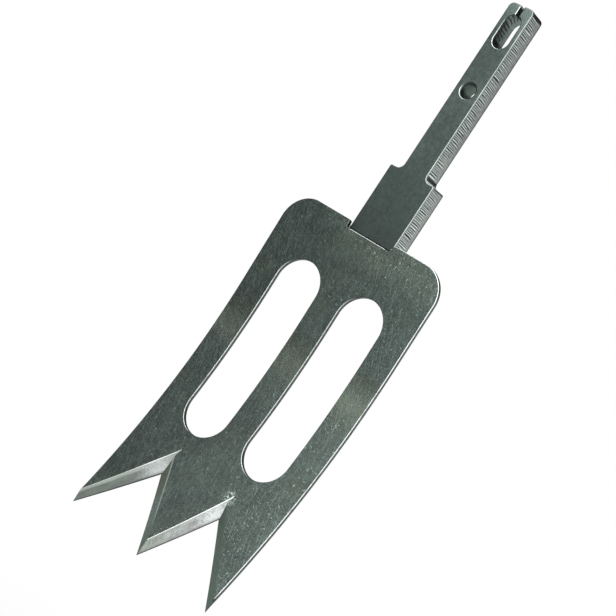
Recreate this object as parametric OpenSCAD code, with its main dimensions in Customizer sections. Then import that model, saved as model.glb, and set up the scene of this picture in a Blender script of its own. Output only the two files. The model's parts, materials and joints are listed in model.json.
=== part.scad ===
// Head of a three-tined fork hoe: a curved, slotted steel blade welded to a flat-bar shank whose
// forked tang goes into a handle. Millimetres, +Z up the shank, the blade's hollow side towards -Y.
// The origin is the middle of the cross hole, halfway through the bar.

/* [Shank] */
// Thickness of the flat bar
bar_t = 12; // [8:0.5:16]
// Width of the tang, which goes into the handle
tang_w = 16; // [13:0.5:20]
// Length of the tang from its shoulders to its tip
tang_l = 103.5; // [90:0.5:140]
// Radius of the corners at the tang's tip
tip_r = 3; // [1:0.25:4]
// Width of the neck below the shoulders
neck_w = 30.5; // [26:0.5:40]
// Length of the neck from the shoulders down to the blade's top edge
neck_l = 36; // [20:0.5:80]
// Length of bar that laps behind the blade
lap_l = 24; // [20:0.5:26]
// Radius of the fillet between each shoulder and the tang
shoulder_fillet_r = 3.5; // [1:0.25:4.5]
// Radius of each shoulder's outer corner
shoulder_r = 1.2; // [0.5:0.1:2]

/* [Tang openings] */
// Diameter of the cross hole
hole_d = 8.5; // [6:0.1:9.5]
// Width of the chamfer round the cross hole's front
hole_chamfer = 0.75; // [0.25:0.05:1]
// Height of the cross hole above the shoulders
hole_h = 51.7; // [20:0.1:60]
// Width of the key slot near the tip
key_w = 10; // [6:0.1:11]
// Length of the key slot from end to end
key_l = 20; // [14:0.1:24]
// Metal left above the key slot
key_edge = 5.8; // [4.5:0.1:10]
// Width of the slit that splits the tip into two prongs
slit_w = 2.5; // [1:0.1:4]

/* [Blade] */
// Thickness of the blade's sheet
sheet_t = 2.6; // [2:0.1:4]
// Width across the blade's top
blade_w = 110.4; // [90:0.2:140]
// Height of the blade from its top edge to the tips of its tines
blade_l = 201; // [195:0.5:245]
// How far each side draws in between the top edge and the tips
side_taper = 2.2; // [0:0.1:8]
// Radius of the top corners
corner_r = 16; // [6:0.5:20]
// Angle at which the blade leans back from the line of the shank, in degrees
lean = 2; // [0:0.25:6]
// Height of the flat part at the top of the blade
flat_l = 53; // [30:0.5:80]
// Radius to which the rest of the blade is bent, on its hollow side
bend_r = 420; // [330:5:900]

/* [Blade openings] */
// Width of each long slot
slot_w = 29; // [20:0.5:32]
// Length of each long slot from end to end
slot_l = 108; // [70:0.5:115]
// Distance between the middles of the two long slots
slot_spacing = 45.6; // [42:0.2:50]
// Distance from the blade's top edge down to the top of the slots
slot_drop = 29.2; // [28:0.1:40]
// Depth of the notch in the top edge that shows the end of the neck
notch_d = 4; // [2:0.25:6]
// Room on each side between the neck and the notch
notch_clearance = 0.15; // [0.05:0.05:2]
// Radius of the notch's bottom corners
notch_r = 0.8; // [0.5:0.1:2]

/* [Tines] */
// Height of the gaps between the tines
gap_h = 38; // [20:0.5:44]
// Distance between the tops of the two gaps
gap_spacing = 45.4; // [40:0.2:50]
// Height of the bevel on the front above the top of each gap
bevel_gap_h = 15.6; // [8:0.2:18]
// How far the top of that bevel lies nearer to the middle than the top of its gap
bevel_gap_in = 0.9; // [0:0.1:3]
// Height of the bevel on the front above the outer tips
bevel_outer_h = 8; // [5:0.2:14]
// Height of the bevel on the front above the middle tip
bevel_middle_h = 10; // [5:0.2:14]

/* [Welds] */
// Width of each weld bead on the blade and on the bar
weld_leg = 4.5; // [3:0.1:5]
// Length left bare at each end of a weld bead
weld_inset = 2; // [1:0.25:3]

/* [Hidden] */
$fn = 96;

// Heights
tip_z = tang_l - hole_h;
shoulder_z = -hole_h;
top_z = shoulder_z - neck_l;
bar_end_z = top_z - lap_l;
flat_end_z = top_z - flat_l;
tine_z = top_z - blade_l;
gap_z = tine_z + gap_h;
key_top_z = tip_z - key_edge;

// The blade's back lies on the front of the bar and leans back below its top edge
bar_front = -bar_t / 2;
flat_end_back = bar_front + flat_l * tan(lean);
bend_y = flat_end_back - (bend_r + sheet_t) * cos(lean);
bend_z = flat_end_z - (bend_r + sheet_t) * sin(lean);

// Outline of the blade
half_w = blade_w / 2;
taper_angle = atan(side_taper / blade_l);
corner_x = half_w - corner_r * tan(taper_angle) - corner_r / cos(taper_angle);
gap_x = gap_spacing / 2;
tine_x = half_w - side_taper;

// How far a cutter runs past the surface that it cuts, and past the whole part
cut_past = 1;
cut_through = 60;
// Shares of the bevel's width and length that its cutter runs past its edges and past the tips
bevel_past = 0.12;
tip_past = 0.1;
// Flat facets along each bevelled edge
bevel_steps = 8;
// Share of a weld bead's width that its round bar is sunk behind each face
bead_sink = 0.25;

// Place of the blade's back and front at a height z on its bent part
function back_y(z) = bend_y + sqrt(pow(bend_r + sheet_t, 2) - pow(z - bend_z, 2));
function front_y(z) = bend_y + sqrt(pow(bend_r, 2) - pow(z - bend_z, 2));
function on_back(p) = [p.x, back_y(p.y), p.y];
function on_front(p) = [p.x, front_y(p.y), p.y];

// A point at share t of the way from a to b
function between(a, b, t) = a + t * (b - a);

// An outline drawn in X and Z, as a plate that goes through the whole part
module through_plate(depth = cut_through) {
    translate([0, depth / 2, 0])
    rotate([90, 0, 0])
    linear_extrude(depth)
    children();
}

// A rectangle from height z0 up to z1, centred on x = 0
module band(width, z0, z1) {
    translate([-width / 2, z0])
    square([width, z1 - z0]);
}

// A band whose two upper corners are round
module round_topped(width, z0, z1, r) {
    band(width, z0, z1 - r);
    band(width - 2 * r, z1 - 2 * r, z1);
    for (side = [-1, 1])
        translate([side * (width / 2 - r), z1 - r])
        circle(r);
}

// An upright slot with round ends
module upright_slot(width, length) {
    square([width, length - width], center = true);
    for (end = [-1, 1])
        translate([0, end * (length - width) / 2])
        circle(width / 2);
}

module shoulder_fillets() {
    for (side = [-1, 1])
        translate([side * (tang_w / 2 + shoulder_fillet_r), shoulder_z + shoulder_fillet_r])
        difference() {
            translate([-side * shoulder_fillet_r / 2, -shoulder_fillet_r / 2])
            square(shoulder_fillet_r, center = true);
            circle(shoulder_fillet_r);
        }
}

module shank_outline() {
    difference() {
        union() {
            round_topped(tang_w, shoulder_z - cut_past, tip_z, tip_r);
            round_topped(neck_w, bar_end_z, shoulder_z, shoulder_r);
            shoulder_fillets();
        }
        translate([0, key_top_z - key_l / 2])
        upright_slot(key_w, key_l);
        band(slit_w, key_top_z - key_w / 2, tip_z + cut_past);
    }
}

// All the space in front of the blade's flat back, below its top edge
module space_before_blade() {
    translate([0, bar_front, top_z])
    rotate([lean, 0, 0])
    translate([-cut_through, -cut_through, -lap_l - bar_t])
    cube([2 * cut_through, cut_through, lap_l + bar_t]);
}

// The cross hole, whose 45 degree chamfer is on the front only
module cross_hole() {
    rotate([90, 0, 0])
    cylinder(d = hole_d, h = cut_through, center = true);
    translate([0, bar_front, 0])
    rotate([90, 0, 0])
    translate([0, 0, -hole_chamfer])
    cylinder(r1 = hole_d / 2, r2 = hole_d / 2 + hole_chamfer + cut_past, h = hole_chamfer + cut_past);
}

module shank() {
    color("#5f6b67")
    difference() {
        through_plate(bar_t)
        shank_outline();
        cross_hole();
        space_before_blade();
    }
}

// The blade seen from its side, drawn in Y and Z: a leaning flat part and a bent part below it
module blade_side() {
    flat_run = flat_l / cos(lean);
    translate([bar_front, top_z])
    rotate(lean)
    translate([-sheet_t, -flat_run])
    square([sheet_t, flat_run + cut_past]);
    intersection() {
        translate([bend_y, bend_z])
        difference() {
            circle(bend_r + sheet_t, $fn = 360);
            circle(bend_r, $fn = 360);
        }
        translate([flat_end_back, flat_end_z])
        rotate(lean)
        translate([-blade_l, -blade_l])
        square([blade_l + cut_past, blade_l]);
    }
}

// What comes off the blade's square top corner on the right to make it round
module corner_waste() {
    difference() {
        polygon([
            [0, 0],
            [0, corner_r + cut_past],
            [half_w - corner_x + cut_past, corner_r + cut_past],
            (corner_r + cut_past) * [cos(taper_angle), -sin(taper_angle)]
        ]);
        circle(corner_r);
    }
}

// The two gaps are drawn a little small here, and their bevels take them to their lines
module blade_outline() {
    half_edge = [[half_w, top_z], [tine_x, tine_z], [gap_x, gap_z - cut_past], [0, tine_z]];
    difference() {
        polygon(concat(half_edge, [for (i = [2 : -1 : 0]) [-half_edge[i].x, half_edge[i].y]]));
        for (side = [0, 1])
            mirror([side, 0])
            translate([corner_x, top_z - corner_r])
            corner_waste();
        for (side = [-1, 1])
            translate([side * slot_spacing / 2, top_z - slot_drop - slot_l / 2])
            upright_slot(slot_w, slot_l);
        neck_notch();
    }
}

// The notch in the blade's top edge, as wide as the neck and with round bottom corners
module neck_notch() {
    width = neck_w + 2 * notch_clearance;
    band(width, top_z - notch_d + notch_r, top_z + cut_past);
    band(width - 2 * notch_r, top_z - notch_d, top_z);
    for (side = [-1, 1])
        translate([side * (width / 2 - notch_r), top_z - notch_d + notch_r])
        circle(notch_r);
}

// The two ends of one rung of the bevel, run a little past the blade's back and front
function rung(edge, top) =
    let (e = on_back(edge), f = on_front(top))
    [between(e, f, -bevel_past), between(e, f, 1 + bevel_past)];

// One gap's bevelled edges: from the outer tip up to the top of the gap and down to the middle
// tip. The ruled surface through each edge on the back and each line on the front is the floor
// of the cutter, which reaches forward from there.
module gap_bevel_cutter() {
    outer_edge = [tine_x, tine_z];
    outer_top = [half_w - side_taper * (1 - bevel_outer_h / blade_l), tine_z + bevel_outer_h];
    middle_edge = [0, tine_z];
    middle_top = [0, tine_z + bevel_middle_h];
    apex_edge = [gap_x, gap_z];
    apex_top = [gap_x - bevel_gap_in, gap_z + bevel_gap_h];
    shares = [for (i = [0 : bevel_steps]) between(-tip_past, 1, i / bevel_steps)];
    outer = [for (t = shares) rung(between(outer_edge, apex_edge, t), between(outer_top, apex_top, t))];
    middle = [for (t = shares) rung(between(middle_edge, apex_edge, t), between(middle_top, apex_top, t))];
    rungs = concat(outer, [for (i = [bevel_steps - 1 : -1 : 0]) middle[i]]);
    reach = [0, -cut_through, 0];
    corners = [for (r = rungs) each [r[0], r[1], r[1] + reach, r[0] + reach]];
    last = len(rungs) - 1;
    walls = [
        for (i = [0 : last - 1], k = [0 : 3])
        let (a = 4 * i + k, b = 4 * i + (k + 1) % 4)
        each [[a, b, b + 4], [a, b + 4, a + 4]]
    ];
    ends = [[2, 1, 0], [3, 2, 0], [4 * last, 4 * last + 1, 4 * last + 2], [4 * last, 4 * last + 2, 4 * last + 3]];
    polyhedron(points = corners, faces = concat(walls, ends));
}

module blade() {
    color("#6c7671")
    difference() {
        intersection() {
            translate([-half_w, 0, 0])
            rotate([90, 0, 90])
            linear_extrude(blade_w)
            blade_side();
            through_plate(2 * blade_l)
            blade_outline();
        }
        gap_bevel_cutter();
        mirror([1, 0, 0])
        gap_bevel_cutter();
    }
}

// A bead along Z in the corner of two faces, which meet at x = 0 and y = 0. It is the part of a
// round-ended bar that stands out of the corner. It can run past the face at x = 0.
module corner_bead(length, past_face = 0) {
    sink = weld_leg * bead_sink;
    bead_r = norm([weld_leg + sink, sink]);
    run = length - 2 * sqrt(pow(bead_r, 2) - 2 * pow(sink, 2));
    intersection() {
        translate([-past_face, 0, 0])
        cube([2 * weld_leg, 2 * weld_leg, length]);
        translate([-sink, -sink, length / 2]) {
            cylinder(r = bead_r, h = run, center = true);
            for (end = [-1, 1])
                translate([0, 0, end * run / 2])
                sphere(bead_r);
        }
    }
}

module side_weld() {
    color("#7b817e")
    translate([neck_w / 2, bar_front, top_z])
    rotate([lean, 0, 0])
    translate([0, 0, weld_inset - lap_l])
    corner_bead(lap_l - 2 * weld_inset);
}

module weld_left() {
    mirror([1, 0, 0])
    side_weld();
}

module weld_right() {
    side_weld();
}

module weld_end() {
    color("#7b817e")
    difference() {
        translate([neck_w / 2 - weld_inset, bar_front + lap_l * tan(lean), bar_end_z])
        rotate([lean, 0, 0])
        rotate([0, -90, 0])
        mirror([1, 0, 0])
        corner_bead(neck_w - 2 * weld_inset, cut_past);
        translate([-neck_w, -bar_t, bar_end_z])
        cube([2 * neck_w, 2 * bar_t, lap_l]);
    }
}

shank();
blade();
weld_left();
weld_right();
weld_end();
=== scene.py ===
"""Looks of a three-tined fork hoe head: the cut bar, the bent and ground blade, and its welds."""

import json
import math

import bmesh
import bpy
from bpy.props import FloatProperty, FloatVectorProperty, IntProperty, PointerProperty
from mathutils import Matrix, Vector


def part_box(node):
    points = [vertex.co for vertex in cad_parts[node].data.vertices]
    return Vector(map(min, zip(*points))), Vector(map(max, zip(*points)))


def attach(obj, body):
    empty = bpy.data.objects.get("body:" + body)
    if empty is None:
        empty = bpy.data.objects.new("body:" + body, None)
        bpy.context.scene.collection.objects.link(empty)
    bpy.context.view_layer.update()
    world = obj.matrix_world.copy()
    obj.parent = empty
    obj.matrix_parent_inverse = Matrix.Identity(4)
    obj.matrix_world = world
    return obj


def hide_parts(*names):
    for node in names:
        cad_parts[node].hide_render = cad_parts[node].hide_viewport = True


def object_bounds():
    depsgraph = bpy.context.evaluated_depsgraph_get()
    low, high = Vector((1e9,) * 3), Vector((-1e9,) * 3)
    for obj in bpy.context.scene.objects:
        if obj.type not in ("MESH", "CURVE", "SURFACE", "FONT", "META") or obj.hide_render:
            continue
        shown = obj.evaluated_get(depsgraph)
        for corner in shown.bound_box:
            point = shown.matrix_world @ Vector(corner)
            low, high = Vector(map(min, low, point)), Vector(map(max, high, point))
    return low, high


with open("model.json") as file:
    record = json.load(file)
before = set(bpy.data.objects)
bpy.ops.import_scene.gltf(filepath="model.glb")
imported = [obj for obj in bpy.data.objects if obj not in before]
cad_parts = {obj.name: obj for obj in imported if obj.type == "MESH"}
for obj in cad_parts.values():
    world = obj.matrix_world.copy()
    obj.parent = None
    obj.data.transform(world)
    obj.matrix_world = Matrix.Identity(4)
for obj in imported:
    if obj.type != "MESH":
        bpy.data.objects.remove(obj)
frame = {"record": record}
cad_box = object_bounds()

bl_info = {
    "name": "Fork hoe head",
    "version": (1, 0, 0),
    "blender": (4, 5, 0),
    "location": "3D View > Sidebar > Fork hoe",
    "description": "Builds the steel head of a three-tined fork hoe and a pale studio round it",
    "category": "Object",
}

MM = 0.001
mounts = {mount["name"]: mount for mount in frame["record"]["mounts"]}
hole_r = mounts["cross_hole"]["dims"]["r_mm"] * MM
key_middle = mounts["key_slot"]["pos_m"][2]
shoulder_z = mounts["shoulder_left"]["pos_m"][2]
bar_low, bar_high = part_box("shank")
blade_low, blade_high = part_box("blade")


def millimetres(name, description, default):
    """A length that is given in millimetres and kept in metres."""
    return FloatProperty(name=name, description=description, default=default * MM, unit="LENGTH",
                         precision=5)


def degrees(name, description, default):
    """An angle that is given in degrees and kept in radians."""
    return FloatProperty(name=name, description=description, default=math.radians(default),
                         subtype="ANGLE")


def colour(name, description, default):
    return FloatVectorProperty(name=name, description=description, default=default, subtype="COLOR",
                               size=3, min=0.0, max=1.0)


class ShankSettings(bpy.types.PropertyGroup):
    """Sizes and colours of the flat bar with its forked tang."""

    tang_w: millimetres("Tang width", "Width of the tang, which goes into the handle", 16)
    tip_r: millimetres("Tip radius", "Radius of the corners at the tang's tip", 3)
    shoulder_r: millimetres("Shoulder radius", "Radius of each shoulder's outer corner", 1.2)
    fillet_r: millimetres("Fillet radius", "Radius between each shoulder and the tang", 3.5)
    key_w: millimetres("Key slot width", "Width of the key slot near the tip", 10)
    key_l: millimetres("Key slot length", "Length of the key slot from end to end", 20)
    slit_w: millimetres("Slit width", "Width of the slit between the two prongs", 2.5)
    prong_r: millimetres("Prong radius", "Radius of each prong's inner corner at the tip", 0.6)
    edge_r: millimetres("Edge radius", "Radius to which the cut edges are broken", 0.4)
    chamfer: millimetres("Chamfer", "Width of the chamfer round the front of the cross hole", 0.75)
    mark_gap: millimetres("Cut mark gap", "Usual distance between two cut marks on the sides", 1.2)
    mark_depth: millimetres("Cut mark depth", "Depth of the deepest cut marks", 0.1)
    mark_slant: FloatProperty(name="Cut mark slant", default=-0.03, precision=3,
                              description="How far a cut mark runs along the side on its way across it")
    mark_step: millimetres("Cut mark step", "Distance between the points that shape the cut marks", 0.24)
    mark_seed: IntProperty(name="Cut mark seed", description="Picks one pattern of cut marks", default=7)
    face: colour("Face colour", "Colour of the rolled front and back", (0.0505, 0.0655, 0.0605))
    cut: colour("Cut colour", "Colour of the cut sides", (0.27, 0.3, 0.285))


class BladeSettings(bpy.types.PropertyGroup):
    """Sizes and colours of the slotted, bent and ground blade."""

    sheet_t: millimetres("Sheet thickness", "Thickness of the blade's sheet", 2.6)
    top_w: millimetres("Top width", "Width across the blade's top", 110.4)
    taper: millimetres("Side taper", "How far each side draws in down to the tips", 2.2)
    corner_r: millimetres("Corner radius", "Radius of the top corners", 16)
    lean: degrees("Lean", "Angle at which the blade leans back from the line of the shank", 2)
    flat_l: millimetres("Flat length", "Height of the flat part at the top", 53)
    bend_r: millimetres("Bend radius", "Radius of the bend on its hollow side", 420)
    slot_w: millimetres("Slot width", "Width of each long slot", 29)
    slot_l: millimetres("Slot length", "Length of each long slot from end to end", 108)
    slot_spacing: millimetres("Slot spacing", "Distance between the middles of the slots", 45.6)
    slot_drop: millimetres("Slot drop", "Distance from the top edge down to the slots", 29.2)
    notch_d: millimetres("Notch depth", "Depth of the notch in the top edge", 4)
    notch_room: millimetres("Notch room", "Room on each side between the neck and the notch", 0.15)
    notch_r: millimetres("Notch radius", "Radius of the notch's bottom corners", 0.8)
    left_lip_r: millimetres("Left lip radius", "Radius of the notch's upper left corner", 1)
    right_lip_r: millimetres("Right lip radius", "Radius of the notch's worn upper right corner", 3)
    gap_h: millimetres("Gap height", "Height of the gaps between the tines", 38)
    gap_spacing: millimetres("Gap spacing", "Distance between the tops of the two gaps", 45.4)
    grind_top_h: millimetres("Bevel height at the gap", "Height of the bevel above the top of a gap", 15.6)
    grind_top_in: millimetres(
        "Bevel top offset", "How far the top of a bevel lies nearer to the middle", 0.9)
    grind_top_shift: millimetres(
        "Bevel top shift", "How far the hand drifted right at the top of both bevels", 0.9)
    grind_top_tilt: millimetres(
        "Bevel top tilt", "How much the left bevel reaches above the usual height", 1.2)
    overrun: millimetres("Grind overrun", "How far the last grind runs on above the one before it", 4.4)
    spare: millimetres("Spare metal", "Metal left on at the tips and gaps before grinding", 3)
    grind_outer_h: millimetres("Bevel height at the outer tips", "Height of the bevel above an outer tip", 8)
    grind_middle_h: millimetres(
        "Bevel height at the middle tip", "Height of the bevel above the middle tip", 10)
    edge_r: millimetres("Edge radius", "Radius to which the edges are broken", 0.35)
    face: colour("Face colour", "Colour of the ground sheet", (0.0425, 0.0535, 0.0485))
    edge: colour("Edge colour", "Colour of the cut edges of the sheet", (0.06, 0.072, 0.068))
    # The arris colour paints a highlight on the arrises that face right, in the notch and along the top edge
    # right of it.
    arris: colour("Arris colour", "Colour of the rubbed arrises of the sheet", (0.42, 0.45, 0.44))
    # The bevel colour is for the bevels that face right, painted as a lit copy of those that face left.
    bright: colour("Bevel colour", "Colour of the freshly ground bevels", (0.108, 0.115, 0.112))
    # The press mark below is a painted reflection across the bend: a paler band, with painted shade above
    # it.
    sheen_drop: millimetres(
        "Press mark drop", "Distance from the top edge down to the mark of the press", 80)
    sheen_h: millimetres("Press mark height", "Height of the paler mark that the press left", 7)


class WeldSettings(bpy.types.PropertyGroup):
    """Sizes and colour of the beads behind the blade."""

    leg: millimetres("Leg", "Width of a bead on the blade and on the bar", 4.4)
    inset: millimetres("Inset", "Length left bare at each end of a bead", 2.1)
    ripple_gap: millimetres("Ripple gap", "Distance between two ripples", 1.7)
    ripple_d: millimetres("Ripple depth", "Depth of the groove between two ripples", 0.35)
    metal: colour("Weld colour", "Colour of the beads", (0.15, 0.152, 0.15))


class StageSettings(bpy.types.PropertyGroup):
    """Camera, lamps and floor."""

    aim: FloatVectorProperty(name="Aim", description="Point that the camera looks at", size=3,
                             default=(-0.01318, -0.00023, -0.13775), subtype="TRANSLATION")
    distance: millimetres("Camera distance", "Distance from the camera to its aim", 866.5)
    azimuth: degrees("Camera azimuth", "Turn of the camera round the head", 35.632)
    elevation: degrees("Camera elevation", "Height of the camera above the level", -0.364)
    roll: degrees("Camera roll", "Tilt of the camera about its own line of sight", 33.264)
    lens: FloatProperty(name="Lens", description="Focal length in millimetres, on a sensor 36 mm wide",
                        default=97.735)
    floor_drop: millimetres("Floor drop", "Distance from the tips of the tines down to the floor", 250)


# Outlines


def arc(centre, radius, start, end, step):
    """Points on a circle from one angle to another, no further apart than the step."""
    count = max(3, math.ceil(abs(end - start) * radius / step))
    turns = [start + (end - start) * i / count for i in range(count + 1)]
    return [Vector((centre[0] + radius * math.cos(t), centre[1] + radius * math.sin(t))) for t in turns]


def rounded_corner(before, corner, after, radius, step):
    """The arc that rounds one corner of an outline."""
    back, ahead = (before - corner).normalized(), (after - corner).normalized()
    half = back.angle(ahead) / 2
    centre = corner + (back + ahead).normalized() * radius / math.sin(half)
    first = corner + back * radius / math.tan(half) - centre
    last = corner + ahead * radius / math.tan(half) - centre
    start = math.atan2(first.y, first.x)
    turn = (math.atan2(last.y, last.x) - start + math.pi) % math.tau - math.pi
    return arc(centre, radius, start, start + turn, step)


def outline(corners, step, spacing=None):
    """A closed outline from corners given as x, z and a radius. Long runs are split at the spacing."""
    points = []
    for i, (x, z, radius) in enumerate(corners):
        if radius:
            before, after = corners[i - 1], corners[(i + 1) % len(corners)]
            points += rounded_corner(Vector(before[:2]), Vector((x, z)), Vector(after[:2]), radius, step)
        else:
            points.append(Vector((x, z)))
    touching = 1e-6
    loop = [p for i, p in enumerate(points) if (p - points[i - 1]).length > touching]
    if spacing:
        ends = loop[1:] + loop[:1]
        counts = [max(1, round((b - a).length / spacing)) for a, b in zip(loop, ends)]
        loop = [a.lerp(b, k / n) for a, b, n in zip(loop, ends, counts) for k in range(n)]
    return loop


def mirrored(corners):
    """The same corners on the left, in the order that carries the outline on."""
    return [(-x, z, radius) for x, z, radius in reversed(corners)]


def outward(loop):
    """Directions out of the metal at each point of an outline, long enough to keep an even margin."""
    found = []
    for i, point in enumerate(loop):
        back, ahead = (point - loop[i - 1]).normalized(), (loop[(i + 1) % len(loop)] - point).normalized()
        normal = Vector((back.y + ahead.y, -back.x - ahead.x)).normalized()
        found.append(normal / max(0.6, normal.dot(Vector((ahead.y, -ahead.x)))))
    return found


def edge_profile(thickness, radius, steps, rows, chamfer=0.0):
    """Depth, inset and share of arris across a plate's edge, with both its arrises rounded, or with
    a chamfer at the front."""
    turns = [math.pi / 2 * i / steps for i in range(steps + 1)]
    arris = [(radius * (1 - math.cos(t)), radius * (1 - math.sin(t)), 1.0) for t in turns]
    front = arris
    if chamfer:
        soft = chamfer * 0.12
        front = [(0.0, chamfer + 2 * soft, 1.0), (soft * 0.3, chamfer, 1.0), (soft, chamfer - soft, 1.0),
                 (chamfer - soft, soft, 1.0), (chamfer, soft * 0.3, 1.0), (chamfer + 2 * soft, 0.0, 1.0)]
    start = front[-1][0]
    wall = [(start + (thickness - radius - start) * i / rows, 0.0, 0.0) for i in range(1, rows)]
    return front + wall + [(thickness - depth, inset, share) for depth, inset, share in reversed(arris)]


def walls(shape, rings):
    """Faces between each ring of points and the next."""
    return [shape.faces.new((near[i - 1], near[i], far[i], far[i - 1]))
            for near, far in zip(rings, rings[1:]) for i in range(len(near))]


def closed(shape, rings):
    """A body that follows its rings of points, with a face over each end."""
    walls(shape, rings)
    shape.faces.new(rings[0])
    shape.faces.new(rings[-1])
    bmesh.ops.recalc_face_normals(shape, faces=shape.faces)
    return shape


def plate(loops, profiles):
    """A flat plate in X and Z that starts at y = 0 and goes back. Outlines run anticlockwise seen
    from the front, and holes clockwise. Edge points know how far along they lie, which way is out,
    and their share of arris."""
    shape = bmesh.new()
    along = shape.verts.layers.float.new("along")
    out = shape.verts.layers.float_vector.new("cut_out")
    arris = shape.verts.layers.float.new("arris")
    rims = ([], [])
    for loop, profile in zip(loops, profiles):
        normals = outward(loop)
        travelled = [0.0]
        for a, b in zip(loop, loop[1:]):
            travelled.append(travelled[-1] + (b - a).length)
        rows = []
        for depth, inset, share in profile:
            row = []
            for point, normal, reach in zip(loop, normals, travelled):
                x, z = point - normal * inset
                vert = shape.verts.new((x, depth, z))
                vert[along] = reach
                vert[arris] = share
                if 0 < depth < profile[-1][0]:
                    vert[out] = Vector((normal.x, 0, normal.y)).normalized()
                row.append(vert)
            rows.append(row)
        for face in walls(shape, rows):
            face.material_index = 1
        for rim, row in zip(rims, (rows[0], rows[-1])):
            rim += [shape.edges.get((row[i - 1], row[i])) for i in range(len(loop))]
    for rim in rims:
        bmesh.ops.triangle_fill(shape, edges=rim, use_beauty=True)
    bmesh.ops.recalc_face_normals(shape, faces=shape.faces)
    return shape


def linked(name, data):
    """A new object in the scene."""
    made = bpy.data.objects.new(name, data)
    bpy.context.scene.collection.objects.link(made)
    return made


def meshed(shape, name, materials):
    """A mesh object from a shape, which is used up."""
    mesh = bpy.data.meshes.new(name)
    shape.to_mesh(mesh)
    shape.free()
    for material in materials:
        mesh.materials.append(material)
    return linked(name, mesh)


def baked(piece):
    """Works a piece's modifiers into its mesh and takes them off."""
    shaped = piece.evaluated_get(bpy.context.evaluated_depsgraph_get())
    mesh = bpy.data.meshes.new_from_object(shaped)
    mesh.name = piece.name
    piece.modifiers.clear()
    piece.data = mesh
    return piece


def finished(shape, name, materials, modifiers):
    """A smooth piece from a shape, with its modifiers worked into a plain mesh."""
    piece = meshed(shape, name, materials)
    piece.data.polygons.foreach_set("use_smooth", [True] * len(piece.data.polygons))
    for add in modifiers:
        add(piece)
    return baked(piece)


def even_shading(piece):
    """Keeps flat faces flat up to their rounded edges."""
    modifier = piece.modifiers.new("even_shading", "WEIGHTED_NORMAL")
    modifier.keep_sharp = True


# Node trees


class Wire:
    """One output of a node, which can be added, multiplied and so on."""

    def __init__(self, bench, socket):
        self.bench = bench
        self.socket = socket

    def maths(self, operation, *others, clamp=False):
        return self.bench.node("ShaderNodeMath", {"operation": operation, "use_clamp": clamp},
                               dict(enumerate((self, *others))))

    def __add__(self, other):
        return self.maths("ADD", other)

    def __sub__(self, other):
        return self.maths("SUBTRACT", other)

    def __rsub__(self, other):
        return (self * -1) + other

    def __mul__(self, other):
        return self.maths("MULTIPLY", other)

    def __truediv__(self, other):
        return self.maths("DIVIDE", other)

    __radd__ = __add__

    def clamp(self):
        return self.maths("ADD", 0.0, clamp=True)

    def step(self, low, high):
        """0 below low and 1 above high, with a smooth change between them."""
        return self.bench.node("ShaderNodeMapRange", {"interpolation_type": "SMOOTHSTEP"},
                               {"Value": self, "From Min": low, "From Max": high})


class Bench:
    """Adds nodes to a tree."""

    def __init__(self, tree):
        self.tree = tree

    def plug(self, socket, value):
        if isinstance(value, Wire):
            self.tree.links.new(value.socket, socket)
        else:
            socket.default_value = value

    def find(self, sockets, key):
        if isinstance(key, int):
            return sockets[key]
        return next(s for s in sockets if s.enabled and key in (s.identifier, s.name))

    def node(self, kind, settings=None, sockets=None, out=0):
        """Adds a node of a type: its settings come first, then its sockets' values or wires."""
        made = self.tree.nodes.new(kind)
        for name, value in (settings or {}).items():
            if name == "stops":
                ramp = made.color_ramp
                ramp.elements.remove(ramp.elements[1])
                for i, (place, shade) in enumerate(value):
                    stop = ramp.elements.new(place) if i else ramp.elements[0]
                    stop.position = place
                    stop.color = (*shade, 1)
            else:
                setattr(made, name, value)
        for key, value in (sockets or {}).items():
            self.plug(self.find(made.inputs, key), value)
        return Wire(self, self.find(made.outputs, out)) if made.outputs else made

    def vector(self, x, y, z):
        return self.node("ShaderNodeCombineXYZ", None, {"X": x, "Y": y, "Z": z})

    def parts(self, vector):
        split = self.node("ShaderNodeSeparateXYZ", None, {0: vector})
        return [Wire(self, socket) for socket in split.socket.node.outputs]

    def noise(self, place, scale, detail=3.0, roughness=0.55):
        """Soft noise between 0 and 1, about as many times in a metre as its scale says."""
        return self.node("ShaderNodeTexNoise", None,
                         {"Vector": place, "Scale": scale, "Detail": detail, "Roughness": roughness})

    def strokes(self, x, y, z, detail, roughness=0.55):
        """Soft noise between 0 and 1 that is drawn out along one way, over three scaled distances."""
        return self.noise(self.vector(x, y, z), 1.0, detail, roughness)

    def attribute(self, name, out="Fac"):
        """What the mesh carries under a name, for a material."""
        return self.node("ShaderNodeAttribute", {"attribute_name": name}, out=out)

    def stored(self, name, kind="FLOAT"):
        """What the mesh carries under a name, for a modifier."""
        return self.node("GeometryNodeInputNamedAttribute", {"data_type": kind}, {"Name": name})

    def blend(self, share, first, second, how="MIX"):
        """Mixes two colours, each a wire or three numbers."""
        first, second = [c if isinstance(c, Wire) else (*c, 1) for c in (first, second)]
        return self.node("ShaderNodeMix", {"data_type": "RGBA", "blend_type": how},
                         {"Factor_Float": share, "A_Color": first, "B_Color": second}, "Result_Color")

    def coats(self, base, shade, *coats):
        """Lays tints of a shade over a base. Each has its share, and then its factor or its three."""
        for share, *factors in coats:
            base = self.blend(share, base, scaled(shade, *factors))
        return base


# Materials


def scaled(shade, *factors):
    """A colour times one factor, or times one for each of red, green and blue."""
    return tuple(channel * factor for channel, factor in zip(shade, factors * (3 // len(factors))))


def emptied(block):
    """A bench over the emptied node tree of a material or world."""
    block.use_nodes = True
    block.node_tree.nodes.clear()
    return Bench(block.node_tree)


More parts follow.
